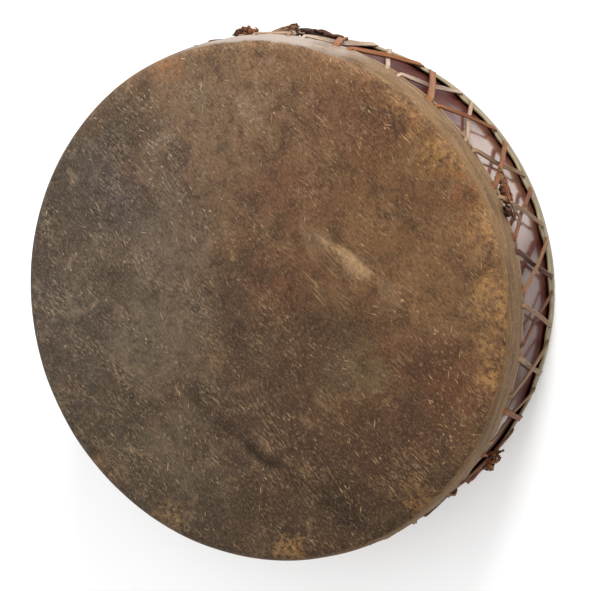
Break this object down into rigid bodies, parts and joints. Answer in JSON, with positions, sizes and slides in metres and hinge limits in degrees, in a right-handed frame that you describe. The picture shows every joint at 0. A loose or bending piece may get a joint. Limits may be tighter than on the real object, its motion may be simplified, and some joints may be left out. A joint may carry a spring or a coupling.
{
  "type": "ceremonial ritual drum",
  "caption": "Large double-headed frame drum: bent-wood shell, two rawhide heads whose scalloped skirts are laced to each other in crosses with flat leather thongs.",
  "frame": {"origin": "middle of the lower head's face, which the drum lies on", "axes": "+Z along the drum's axis, from the lower head to the upper head; -Y is the side with the lacing that faces a viewer"},
  "size_m": [0.6245, 0.6257, 0.21],
  "materials": {
    "varnished_wood": "dark red-brown varnish, glossy, worn",
    "rawhide": "smoke-darkened brown rawhide, scratched and rubbed pale",
    "thong": "dry tan leather strip, matte"
  },
  "bodies": {
    "root": {"shell": "varnished_wood", "upper_head": "rawhide", "lower_head": "rawhide", "under_lace": "thong", "over_lace": "thong", "bundle_knot": "thong", "crossed_knot": "thong", "side_knot": "thong", "lower_knot": "thong"}
  },
  "joints": []
}
